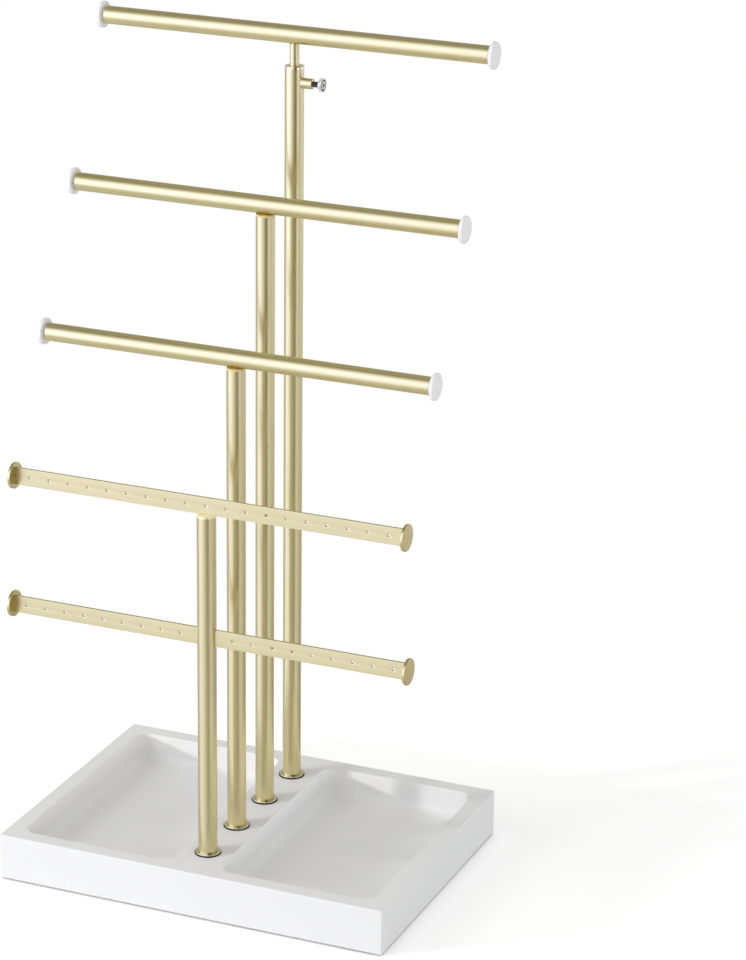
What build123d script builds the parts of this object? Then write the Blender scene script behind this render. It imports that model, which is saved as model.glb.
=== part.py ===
"""Jewelry stand: a white base with two trays, four gold posts, three round bars,
two earring strips, and a rod clamped in the back post that raises the top bar.

Millimetres, +Z up. The origin is the middle of the footprint, on the table.
+X runs along the bars and +Y towards the tallest post, at the back.
"""

import os

from build123d import *

os.makedirs("parts", exist_ok=True)

# Base block with two routed trays
base_length = 219.0
base_width = 159.0
base_height = 24.7
base_edge_round = 0.4
tray_rim = 9.0
tray_web = 27.0
tray_depth = 16.0
tray_draft = 2.0
tray_corner_radius = 8.0
tray_floor_radius = 6.0
tray_lip_round = 0.6

# Non-slip pads let into the underside
pad_diameter = 14.0
pad_thickness = 1.6
pad_sunk = 0.6
pad_inset = 18.0
pad_edge_chamfer = 0.3

# Row of posts, from the back to the front
post_names = ("back", "second", "third", "front")
post_diameter = 10.0
post_wall = 1.0
post_edge_inset = 25.9
post_socket_depth = 6.0

# Collars and gaskets at the feet of the posts
collar_diameter = 13.4
collar_thickness = 0.7
collar_edge_chamfer = 0.3
gasket_diameter = 14.0
gasket_thickness = 0.6

# Screws, washers and tapped plugs that hold the posts from below
screw_diameter = 4.0
screw_length = 20.0
screw_head_diameter = 7.5
screw_head_height = 2.8
screw_head_chamfer = 0.8
screw_key_width = 2.5
screw_key_depth = 1.6
washer_diameter = 9.0
washer_thickness = 0.8
screw_recess_diameter = 11.0
screw_recess_depth = 9.0
foot_plug_length = 12.0
plug_chamfer = 0.6

# Plugs that close the tops of the posts, and the studs that they carry
top_plug_head = 1.0
top_plug_stem = 9.0
top_plug_chamfer = 0.3
stud_diameter = 4.0
stud_over_axis = 2.5
nut_length = 12.0

# Heights of the bars' axes above the table
top_bar_height = 439.4
second_bar_height = 358.5
third_bar_height = 286.8
upper_strip_height = 219.0
lower_strip_height = 147.6

# Round bars and their end caps
bar_diameter = 9.5
bar_wall = 1.0
bar_length = 214.4
cap_diameter = 14.0
cap_gap = 0.8
cap_flange = 2.3
cap_edge_chamfer = 0.4
cap_stem_length = 9.0
cap_stem_wall = 1.4
cap_stem_chamfer = 0.5

# Flat earring strips and their end discs
strip_width = 9.2
strip_thickness = 1.6
upper_strip_span = 220.2
lower_strip_span = 224.4
earring_hole_diameter = 1.6
earring_hole_chamfer = 0.4
earring_hole_pitch = 11.13
upper_hole_count = 19
lower_hole_count = 9
lower_first_hole = 14.6
strip_tab_width = 6.0
strip_tab_depth = 5.0
disc_diameter = 14.0
disc_thickness = 1.6
disc_groove_depth = 0.6
disc_edge_chamfer = 0.3

# Sliding rod of the top bar, with its guides
rod_shown_length = 11.3
rod_diameter = 5.0
rod_length = 155.0
rod_spigot_diameter = 3.4
rod_rivet_height = 1.2
guide_flange = 1.4
guide_stem = 15.0
guide_edge_chamfer = 0.4
guide_mouth_chamfer = 0.3
foot_bush_length = 10.0
foot_bush_chamfer = 0.5

# Thumb screw that clamps the rod, measured out from the back post's axis
clamp_drop = 8.85
boss_diameter = 5.5
boss_reach = 10.5
boss_chamfer = 0.3
clamp_screw_diameter = 3.0
knob_reach = 16.4
knob_diameter = 7.0
knob_thickness = 2.2
knob_edge_chamfer = 0.4
knob_dish_diameter = 3.6
knob_dish_depth = 0.6
knob_groove_count = 24
knob_groove_depth = 0.3
clamp_tip_diameter = 2.5
clamp_tip_length = 2.0
clamp_tip_bore_depth = 1.2
clamp_nose_diameter = 1.4

# Clearances on each side
press_clearance = 0.02
thread_clearance = 0.05
running_clearance = 0.05
slide_clearance = 0.08
joint_clearance = 0.1
hole_clearance = 0.2

# Levels and places that follow from the sizes above
pad_lift = pad_thickness - pad_sunk
base_top = pad_lift + base_height
post_foot = base_top - post_socket_depth
collar_foot = base_top + gasket_thickness
tube_bore_radius = post_diameter / 2 - post_wall
bar_bore_radius = bar_diameter / 2 - bar_wall
post_pitch = (base_width - 2 * post_edge_inset) / (len(post_names) - 1)
post_rows = [post_pitch * ((len(post_names) - 1) / 2 - i) for i in range(len(post_names))]
back_y, second_y, third_y, front_y = post_rows

back_post_height = top_bar_height - bar_diameter / 2 - rod_shown_length
second_post_top = second_bar_height - bar_diameter / 2
third_post_top = third_bar_height - bar_diameter / 2
front_post_top = upper_strip_height - strip_width / 2
tube_tops = {
    "back": back_post_height - guide_flange,
    "second": second_post_top - top_plug_head,
    "third": third_post_top - top_plug_head,
    "front": front_post_top - top_plug_head,
}
clamp_height = back_post_height - clamp_drop
clamp_plane = Plane(origin=(0, back_y, clamp_height), x_dir=(0, 1, 0), z_dir=(1, 0, 0))


# Base block
tray_length = (base_length - tray_web) / 2 - tray_rim
tray_width = base_width - 2 * tray_rim
tray_centre = (tray_web + tray_length) / 2
pad_span_x = base_length - 2 * pad_inset
pad_span_y = base_width - 2 * pad_inset

with BuildPart() as base_tray:
    with BuildSketch(Plane.XY.offset(pad_lift)):
        Rectangle(base_length, base_width)
    extrude(amount=base_height)
    top_edges = base_tray.faces().sort_by(Axis.Z)[-1].edges()
    fillet(base_tray.edges().filter_by(Axis.Z) + top_edges, base_edge_round)
    with BuildSketch(Plane.XY.offset(base_top)):
        with Locations((-tray_centre, 0), (tray_centre, 0)):
            RectangleRounded(tray_length, tray_width, tray_corner_radius)
    extrude(amount=-tray_depth, taper=tray_draft, mode=Mode.SUBTRACT)
    tray_floors = base_tray.faces().filter_by(Axis.Z).group_by(Axis.Z)[1]
    fillet(tray_floors.edges(), tray_floor_radius)
    rim_face = base_tray.faces().filter_by(Axis.Z).sort_by(Axis.Z)[-1]
    fillet([edge for wire in rim_face.inner_wires() for edge in wire.edges()], tray_lip_round)
    with Locations(*[(0, y, base_top) for y in post_rows]):
        Hole(post_diameter / 2 + running_clearance, depth=post_socket_depth)
    with Locations(*[Plane(origin=(0, y, pad_lift), z_dir=(0, 0, -1)) for y in post_rows]):
        CounterBoreHole(
            screw_diameter / 2 + hole_clearance, screw_recess_diameter / 2, screw_recess_depth, depth=base_height
        )
    with BuildSketch(Plane.XY.offset(pad_lift)):
        with GridLocations(pad_span_x, pad_span_y, 2, 2):
            Circle(pad_diameter / 2 + hole_clearance)
    extrude(amount=pad_sunk, mode=Mode.SUBTRACT)
base_tray.part.label = "base_tray"
export_step(base_tray.part, "parts/base_tray.step")


# Foot pads
with BuildPart() as foot_pads:
    with BuildSketch():
        with GridLocations(pad_span_x, pad_span_y, 2, 2):
            Circle(pad_diameter / 2)
    extrude(amount=pad_thickness)
    chamfer(foot_pads.edges().group_by(Axis.Z)[0], pad_edge_chamfer)
foot_pads.part.label = "foot_pads"
export_step(foot_pads.part, "parts/foot_pads.step")


# Base screws, seen from below: a low round head with a hexagon key recess
washer_top = pad_lift + screw_recess_depth
head_top = washer_top - washer_thickness
head_bottom = head_top - screw_head_height

with BuildPart() as base_screws:
    with BuildSketch(Plane.XY.offset(head_bottom)):
        with Locations(*[(0, y) for y in post_rows]):
            Circle(screw_head_diameter / 2)
    extrude(amount=screw_head_height)
    chamfer(base_screws.edges().group_by(Axis.Z)[0], screw_head_chamfer)
    with BuildSketch(Plane.XY.offset(head_top)):
        with Locations(*[(0, y) for y in post_rows]):
            Circle(screw_diameter / 2)
    extrude(amount=screw_length)
    with BuildSketch(Plane.XY.offset(head_bottom)):
        with Locations(*[(0, y) for y in post_rows]):
            RegularPolygon(screw_key_width / 2, 6, major_radius=False)
    extrude(amount=screw_key_depth, mode=Mode.SUBTRACT)
base_screws.part.label = "base_screws"
export_step(base_screws.part, "parts/base_screws.step")


# Washers under the screw heads
with BuildPart() as base_washers:
    with BuildSketch(Plane.XY.offset(head_top)):
        with Locations(*[(0, y) for y in post_rows]):
            Circle(washer_diameter / 2)
            Circle(screw_diameter / 2 + hole_clearance, mode=Mode.SUBTRACT)
    extrude(amount=washer_thickness)
base_washers.part.label = "base_washers"
export_step(base_washers.part, "parts/base_washers.step")


# Gaskets between the collars and the base
with BuildPart() as collar_gaskets:
    with BuildSketch(Plane.XY.offset(base_top)):
        with Locations(*[(0, y) for y in post_rows]):
            Circle(gasket_diameter / 2)
            Circle(post_diameter / 2 + running_clearance, mode=Mode.SUBTRACT)
    extrude(amount=gasket_thickness)
collar_gaskets.part.label = "collar_gaskets"
export_step(collar_gaskets.part, "parts/collar_gaskets.step")


# Collars and tapped foot plugs, one of each to a post
for post_name, post_y in zip(post_names, post_rows):
    with BuildPart() as collar:
        with BuildSketch(Plane.XY.offset(collar_foot)):
            with Locations((0, post_y)):
                Circle(collar_diameter / 2)
                Circle(post_diameter / 2 + running_clearance, mode=Mode.SUBTRACT)
        extrude(amount=collar_thickness)
        chamfer(collar.edges().group_by(Axis.Z)[-1].sort_by(SortBy.LENGTH)[-1], collar_edge_chamfer)
    collar.part.label = f"{post_name}_post_collar"
    export_step(collar.part, f"parts/{collar.part.label}.step")

    with BuildPart() as foot_plug:
        with BuildSketch(Plane.XY.offset(post_foot)):
            with Locations((0, post_y)):
                Circle(tube_bore_radius - press_clearance)
                Circle(screw_diameter / 2 + thread_clearance, mode=Mode.SUBTRACT)
        extrude(amount=foot_plug_length)
        chamfer(foot_plug.edges().group_by(Axis.Z)[-1].sort_by(SortBy.LENGTH)[-1], plug_chamfer)
    foot_plug.part.label = f"{post_name}_post_foot_plug"
    export_step(foot_plug.part, f"parts/{foot_plug.part.label}.step")


# Post tubes: the back one is drilled for the clamp, the front one slotted for the lower strip
for post_name, post_y in zip(post_names, post_rows):
    with BuildPart() as post_tube:
        with BuildSketch(Plane.XY.offset(post_foot)):
            with Locations((0, post_y)):
                Circle(post_diameter / 2)
                Circle(tube_bore_radius, mode=Mode.SUBTRACT)
        extrude(amount=tube_tops[post_name] - post_foot)
        if post_name == "back":
            with BuildSketch(clamp_plane):
                Circle(clamp_screw_diameter / 2 + hole_clearance)
            extrude(amount=post_diameter, mode=Mode.SUBTRACT)
        if post_name == "front":
            with BuildSketch(Plane(origin=(0, post_y, lower_strip_height), x_dir=(0, 1, 0), z_dir=(1, 0, 0))):
                Rectangle(strip_thickness + 2 * running_clearance, strip_width + 2 * running_clearance)
            extrude(amount=post_diameter, both=True, mode=Mode.SUBTRACT)
    post_tube.part.label = f"{post_name}_post_tube"
    export_step(post_tube.part, f"parts/{post_tube.part.label}.step")


# Top plugs of the second and third posts, with the studs that hold the bars
stud_plugs = (("second", second_y, second_post_top), ("third", third_y, third_post_top))
stud_foot_drop = top_plug_head + top_plug_stem

for post_name, post_y, post_top in stud_plugs:
    with BuildPart() as top_plug:
        with BuildSketch(Plane.XY.offset(post_top - top_plug_head)):
            with Locations((0, post_y)):
                Circle(post_diameter / 2)
        extrude(amount=top_plug_head)
        chamfer(top_plug.edges().group_by(Axis.Z)[-1], top_plug_chamfer)
        with BuildSketch(Plane.XY.offset(post_top - top_plug_head)):
            with Locations((0, post_y)):
                Circle(tube_bore_radius - press_clearance)
        extrude(amount=-top_plug_stem)
        with Locations((0, post_y, post_top)):
            Hole(stud_diameter / 2 + thread_clearance, depth=stud_foot_drop)
    top_plug.part.label = f"{post_name}_post_top_plug"
    export_step(top_plug.part, f"parts/{top_plug.part.label}.step")

    with BuildPart() as bar_stud:
        with BuildSketch(Plane.XY.offset(post_top - stud_foot_drop)):
            with Locations((0, post_y)):
                Circle(stud_diameter / 2)
        extrude(amount=stud_foot_drop + bar_diameter / 2 + stud_over_axis)
    bar_stud.part.label = f"{post_name}_bar_stud"
    export_step(bar_stud.part, f"parts/{bar_stud.part.label}.step")


# Top plug of the front post, slotted for the tab of the upper strip
with BuildPart() as front_plug:
    with BuildSketch(Plane.XY.offset(front_post_top - top_plug_head)):
        with Locations((0, front_y)):
            Circle(post_diameter / 2)
    extrude(amount=top_plug_head)
    chamfer(front_plug.edges().group_by(Axis.Z)[-1], top_plug_chamfer)
    with BuildSketch(Plane.XY.offset(front_post_top - top_plug_head)):
        with Locations((0, front_y)):
            Circle(tube_bore_radius - press_clearance)
    extrude(amount=-top_plug_stem)
    with BuildSketch(Plane.XY.offset(front_post_top)):
        with Locations((0, front_y)):
            Rectangle(strip_tab_width + 2 * running_clearance, strip_thickness + 2 * running_clearance)
    extrude(amount=-(strip_tab_depth + running_clearance), mode=Mode.SUBTRACT)
front_plug.part.label = "front_post_top_plug"
export_step(front_plug.part, "parts/front_post_top_plug.step")


# Round bars: tube, barrel nut and a push-in cap at each end
round_bars = (
    ("top", back_y, top_bar_height),
    ("second", second_y, second_bar_height),
    ("third", third_y, third_bar_height),
)
bar_sides = (("left", -1), ("right", 1))
cap_stem_radius = bar_bore_radius - press_clearance
cap_place = bar_length / 2 + cap_gap

for bar_name, bar_y, bar_z in round_bars:
    bar_plane = Plane(origin=(0, bar_y, bar_z), x_dir=(0, 1, 0), z_dir=(1, 0, 0))
    with BuildPart() as bar_tube:
        with BuildSketch(bar_plane):
            Circle(bar_diameter / 2)
            Circle(bar_bore_radius, mode=Mode.SUBTRACT)
        extrude(amount=bar_length / 2, both=True)
        with BuildSketch(Plane.XY.offset(bar_z)):
            with Locations((0, bar_y)):
                Circle(stud_diameter / 2 + hole_clearance)
        extrude(amount=-bar_diameter, mode=Mode.SUBTRACT)
    bar_tube.part.label = f"{bar_name}_bar_tube"
    export_step(bar_tube.part, f"parts/{bar_tube.part.label}.step")

    with BuildPart() as barrel_nut:
        with BuildSketch(bar_plane):
            Circle(bar_bore_radius - press_clearance)
        extrude(amount=nut_length / 2, both=True)
        with Locations((0, bar_y, bar_z)):
            Hole(stud_diameter / 2 + thread_clearance, depth=bar_bore_radius)
    barrel_nut.part.label = f"{bar_name}_bar_nut"
    export_step(barrel_nut.part, f"parts/{barrel_nut.part.label}.step")

    for side_name, side in bar_sides:
        cap_plane = Plane(origin=(side * cap_place, bar_y, bar_z), x_dir=(0, side, 0), z_dir=(side, 0, 0))
        with BuildPart() as end_cap:
            with BuildSketch(cap_plane):
                Circle(cap_diameter / 2)
            extrude(amount=cap_flange)
            chamfer(end_cap.edges(), cap_edge_chamfer)
            with BuildSketch(cap_plane):
                Circle(cap_stem_radius)
                Circle(cap_stem_radius - cap_stem_wall, mode=Mode.SUBTRACT)
            extrude(amount=-cap_stem_length)
            stem_rim = end_cap.edges().sort_by(Axis(cap_plane.origin, cap_plane.z_dir))[:2]
            chamfer(stem_rim.sort_by(SortBy.LENGTH)[-1], cap_stem_chamfer)
        end_cap.part.label = f"{bar_name}_bar_{side_name}_cap"
        export_step(end_cap.part, f"parts/{end_cap.part.label}.step")


# Earring strips: a row of holes across the upper one, two rows beside the post on the lower one
strip_end_cover = 2 * (disc_thickness - disc_groove_depth)
lower_row_centre = lower_first_hole + earring_hole_pitch * (lower_hole_count - 1) / 2
upper_plane = Plane(
    origin=(0, front_y + strip_thickness / 2, upper_strip_height), x_dir=(1, 0, 0), z_dir=(0, -1, 0)
)
lower_plane = Plane(
    origin=(0, front_y + strip_thickness / 2, lower_strip_height), x_dir=(1, 0, 0), z_dir=(0, -1, 0)
)

with BuildPart() as upper_strip:
    with BuildSketch(upper_plane):
        Rectangle(upper_strip_span - strip_end_cover, strip_width)
        with Locations((0, -(strip_width + strip_tab_depth) / 2)):
            Rectangle(strip_tab_width, strip_tab_depth)
        with GridLocations(earring_hole_pitch, strip_width, upper_hole_count, 1):
            Circle(earring_hole_diameter / 2, mode=Mode.SUBTRACT)
    extrude(amount=strip_thickness)
    chamfer(upper_strip.edges().filter_by(GeomType.CIRCLE), earring_hole_chamfer)
upper_strip.part.label = "upper_earring_strip"
export_step(upper_strip.part, "parts/upper_earring_strip.step")

with BuildPart() as lower_strip:
    with BuildSketch(lower_plane):
        Rectangle(lower_strip_span - strip_end_cover, strip_width)
        with Locations((-lower_row_centre, 0), (lower_row_centre, 0)):
            with GridLocations(earring_hole_pitch, strip_width, lower_hole_count, 1):
                Circle(earring_hole_diameter / 2, mode=Mode.SUBTRACT)
    extrude(amount=strip_thickness)
    chamfer(lower_strip.edges().filter_by(GeomType.CIRCLE), earring_hole_chamfer)
lower_strip.part.label = "lower_earring_strip"
export_step(lower_strip.part, "parts/lower_earring_strip.step")


# End discs of the strips, grooved on the inside for the strip's end
strips = (("upper", upper_strip_span, upper_strip_height), ("lower", lower_strip_span, lower_strip_height))

for strip_name, strip_span, strip_z in strips:
    for side_name, side in bar_sides:
        inner_x = side * (strip_span / 2 - disc_thickness)
        disc_plane = Plane(origin=(inner_x, front_y, strip_z), x_dir=(0, side, 0), z_dir=(side, 0, 0))
        with BuildPart() as end_disc:
            with BuildSketch(disc_plane):
                Circle(disc_diameter / 2)
            extrude(amount=disc_thickness)
            chamfer(end_disc.edges(), disc_edge_chamfer)
            with BuildSketch(disc_plane):
                Rectangle(strip_thickness + 2 * running_clearance, strip_width + 2 * running_clearance)
            extrude(amount=disc_groove_depth, mode=Mode.SUBTRACT)
        end_disc.part.label = f"{strip_name}_strip_{side_name}_disc"
        export_step(end_disc.part, f"parts/{end_disc.part.label}.step")


# Guide bush in the top of the back post, drilled through one side for the clamp
with BuildPart() as rod_guide:
    with BuildSketch(Plane.XY.offset(tube_tops["back"])):
        with Locations((0, back_y)):
            Circle(post_diameter / 2)
    extrude(amount=guide_flange)
    chamfer(rod_guide.edges().group_by(Axis.Z)[-1], guide_edge_chamfer)
    with BuildSketch(Plane.XY.offset(tube_tops["back"])):
        with Locations((0, back_y)):
            Circle(tube_bore_radius - press_clearance)
    extrude(amount=-guide_stem)
    with Locations((0, back_y, back_post_height)):
        Hole(rod_diameter / 2 + running_clearance, depth=guide_flange + guide_stem)
    chamfer(rod_guide.edges().group_by(Axis.Z)[-1].sort_by(SortBy.LENGTH)[0], guide_mouth_chamfer)
    with BuildSketch(clamp_plane):
        Circle(clamp_screw_diameter / 2 + hole_clearance)
    extrude(amount=post_diameter, mode=Mode.SUBTRACT)
rod_guide.part.label = "rod_guide_bush"
export_step(rod_guide.part, "parts/rod_guide_bush.step")


# Sliding rod: threaded spigot into the top bar, riveted spigot through the foot bush
rod_top = top_bar_height - bar_diameter / 2
rod_shoulder = rod_top - rod_length
foot_bush_top = rod_shoulder - joint_clearance
rivet_top = foot_bush_top - foot_bush_length - joint_clearance
rod_steps = (
    (rivet_top - rod_rivet_height, rivet_top, rod_diameter),
    (rivet_top, rod_shoulder, rod_spigot_diameter),
    (rod_shoulder, rod_top, rod_diameter),
    (rod_top, top_bar_height + stud_over_axis, stud_diameter),
)

with BuildPart() as sliding_rod:
    for step_foot, step_top, step_diameter in rod_steps:
        with BuildSketch(Plane.XY.offset(step_foot)):
            with Locations((0, back_y)):
                Circle(step_diameter / 2)
        extrude(amount=step_top - step_foot)
sliding_rod.part.label = "sliding_rod"
export_step(sliding_rod.part, "parts/sliding_rod.step")


# Foot bush that guides the rod inside the back post and stops it under the guide
with BuildPart() as rod_foot_bush:
    with BuildSketch(Plane.XY.offset(foot_bush_top)):
        with Locations((0, back_y)):
            Circle(tube_bore_radius - slide_clearance)
    extrude(amount=-foot_bush_length)
    chamfer(rod_foot_bush.edges().filter_by(GeomType.CIRCLE), foot_bush_chamfer)
    with Locations((0, back_y, foot_bush_top)):
        Hole(rod_spigot_diameter / 2 + running_clearance, depth=foot_bush_length)
rod_foot_bush.part.label = "rod_foot_bush"
export_step(rod_foot_bush.part, "parts/rod_foot_bush.step")


# Clamp boss, coped to the back post
with BuildPart() as clamp_boss:
    with BuildSketch(clamp_plane):
        Circle(boss_diameter / 2)
        Circle(clamp_screw_diameter / 2 + thread_clearance, mode=Mode.SUBTRACT)
    extrude(amount=boss_reach)
    chamfer(clamp_boss.edges().sort_by(Axis.X)[-2:].sort_by(SortBy.LENGTH)[-1], boss_chamfer)
    with BuildSketch(Plane.XY.offset(clamp_height - boss_diameter)):
        with Locations((0, back_y)):
            Circle(post_diameter / 2 + press_clearance)
    extrude(amount=2 * boss_diameter, mode=Mode.SUBTRACT)
clamp_boss.part.label = "clamp_boss"
export_step(clamp_boss.part, "parts/clamp_boss.step")


# Soft tip that presses on the rod, on the nose of the screw
tip_start = rod_diameter / 2 + joint_clearance
tip_end = tip_start + clamp_tip_length
screw_start = tip_end + joint_clearance
knob_back = knob_reach - knob_thickness

with BuildPart() as clamp_tip:
    with BuildSketch(clamp_plane.offset(tip_start)):
        Circle(clamp_tip_diameter / 2)
    extrude(amount=clamp_tip_length)
    with BuildSketch(clamp_plane.offset(tip_end)):
        Circle(clamp_nose_diameter / 2 + running_clearance)
    extrude(amount=-clamp_tip_bore_depth, mode=Mode.SUBTRACT)
clamp_tip.part.label = "clamp_tip"
export_step(clamp_tip.part, "parts/clamp_tip.step")


# Clamp screw
with BuildPart() as clamp_screw:
    with BuildSketch(clamp_plane.offset(screw_start)):
        Circle(clamp_screw_diameter / 2)
    extrude(amount=knob_reach - knob_dish_depth - screw_start)
    with BuildSketch(clamp_plane.offset(screw_start)):
        Circle(clamp_nose_diameter / 2)
    extrude(amount=-clamp_tip_bore_depth)
clamp_screw.part.label = "clamp_screw"
export_step(clamp_screw.part, "parts/clamp_screw.step")


# Knob: a knurled disc with a dished face, fixed on the screw
with BuildPart() as clamp_knob:
    with BuildSketch(clamp_plane.offset(knob_back)):
        Circle(knob_diameter / 2)
    extrude(amount=knob_thickness)
    chamfer(clamp_knob.edges().filter_by(GeomType.CIRCLE), knob_edge_chamfer)
    with BuildSketch(clamp_plane.offset(knob_back)):
        with PolarLocations(knob_diameter / 2, knob_groove_count):
            RegularPolygon(knob_groove_depth, 4)
    extrude(amount=knob_thickness, mode=Mode.SUBTRACT)
    with BuildSketch(clamp_plane.offset(knob_reach)):
        Circle(knob_dish_diameter / 2)
    extrude(amount=-knob_dish_depth, mode=Mode.SUBTRACT)
    with BuildSketch(clamp_plane.offset(knob_back)):
        Circle(clamp_screw_diameter / 2 + press_clearance)
    extrude(amount=knob_thickness, mode=Mode.SUBTRACT)
clamp_knob.part.label = "clamp_knob"
export_step(clamp_knob.part, "parts/clamp_knob.step")
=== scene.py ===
"""Looks of the jewelry stand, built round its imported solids.

The base, posts, bars, strips and clamp are modelled with softened edges and dressed in
lacquer, satin gold, plastic, chrome, steel, rubber and nylon. Sizes are in millimetres,
as on the part's drawing, and each finished mesh is scaled to metres. +X runs along the
bars, +Y towards the tallest post and +Z up. The origin is on the table, under the middle
of the base.
"""

import logging
import math
from collections.abc import Callable, Iterable, Sequence
from dataclasses import dataclass, field
from enum import Enum

import bmesh
import bpy
from mathutils import Matrix, Vector


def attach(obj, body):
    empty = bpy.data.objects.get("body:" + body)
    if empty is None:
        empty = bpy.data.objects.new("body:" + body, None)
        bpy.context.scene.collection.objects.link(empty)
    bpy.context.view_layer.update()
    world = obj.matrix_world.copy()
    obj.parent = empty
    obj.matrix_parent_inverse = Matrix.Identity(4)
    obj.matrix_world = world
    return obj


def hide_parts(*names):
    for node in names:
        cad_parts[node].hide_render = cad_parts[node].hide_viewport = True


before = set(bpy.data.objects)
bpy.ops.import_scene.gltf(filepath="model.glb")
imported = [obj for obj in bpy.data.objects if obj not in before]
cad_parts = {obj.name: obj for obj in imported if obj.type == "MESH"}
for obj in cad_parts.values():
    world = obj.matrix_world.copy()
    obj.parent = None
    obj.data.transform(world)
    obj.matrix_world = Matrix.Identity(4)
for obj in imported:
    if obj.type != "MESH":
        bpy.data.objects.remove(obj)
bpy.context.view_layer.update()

LOG = logging.getLogger("jewelry_stand")
MM = 0.001
FULL_TURN = 2.0 * math.pi
TURN_STEPS = 64
SMALL_TURN_STEPS = 24
WELD_DISTANCE = 1e-4
SHARP_EDGE = math.radians(40.0)
SHADE_SPLIT = math.radians(42.0)
NOISE_MIDDLE = (0.3, 0.7)
WHITE = (1.0, 1.0, 1.0, 1.0)

Colour = tuple[float, float, float]
Outline = Sequence[tuple[float, float]]
Socket = bpy.types.NodeSocket
Window = tuple[Vector, Vector]


class Body(Enum):
    """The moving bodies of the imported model."""

    STAND = "stand"
    TOP_BAR = "top_bar"
    THUMB_SCREW = "thumb_screw"


class Slot(Enum):
    """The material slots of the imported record."""

    LACQUER = "white_lacquer"
    GOLD = "satin_gold"
    PLASTIC = "white_plastic"
    CHROME = "chrome_knob"
    STEEL = "steel_fastener"
    RUBBER = "dark_rubber"
    NYLON = "natural_nylon"


class Side(Enum):
    """The two ends of a bar or strip."""

    LEFT = -1
    RIGHT = 1

    @property
    def word(self) -> str:
        """The side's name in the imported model."""
        return self.name.lower()


class TurnAxis(Enum):
    """The axis that a turned piece is spun about."""

    X = 0
    Y = 1
    Z = 2

    @property
    def direction(self) -> Vector:
        """Unit vector along the axis."""
        return unit(self.value)

    def point(self, centre: Vector, radius: float, along: float) -> Vector:
        """Places a point of an outline beside the axis.

        Args:
            centre: A point on the axis.
            radius: Distance from the axis.
            along: Place along the axis.

        Returns:
            The point in the stand's frame.
        """
        if self is TurnAxis.X:
            return Vector((along, centre.y, centre.z + radius))
        if self is TurnAxis.Y:
            return Vector((centre.x + radius, along, centre.z))
        return Vector((centre.x + radius, centre.y, along))

    def radius_of(self, centre: Vector, point: Vector) -> float:
        """Distance of a point from the axis through the centre."""
        offset = point - centre
        return (offset - self.direction * offset.dot(self.direction)).length


def unit(index: int) -> Vector:
    """Unit vector along axis 0, 1 or 2."""
    return Vector([1.0 if index == i else 0.0 for i in range(3)])


def arc(start: float, sweep: float, steps: int) -> list[float]:
    """Angles along an arc, with both its ends."""
    return [start + sweep * i / steps for i in range(steps + 1)]


def ring_outline(inner: float, outer: float, first: float, last: float) -> Outline:
    """Section of a plain ring, or of a plain disc where it has no bore.

    Args:
        inner: Radius of the bore, or zero.
        outer: Radius of the outside.
        first: Place of one end along the axis.
        last: Place of the other end.

    Returns:
        Points of radius and place along the axis.
    """
    return [(inner, first), (outer, first), (outer, last), (inner, last)]


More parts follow.
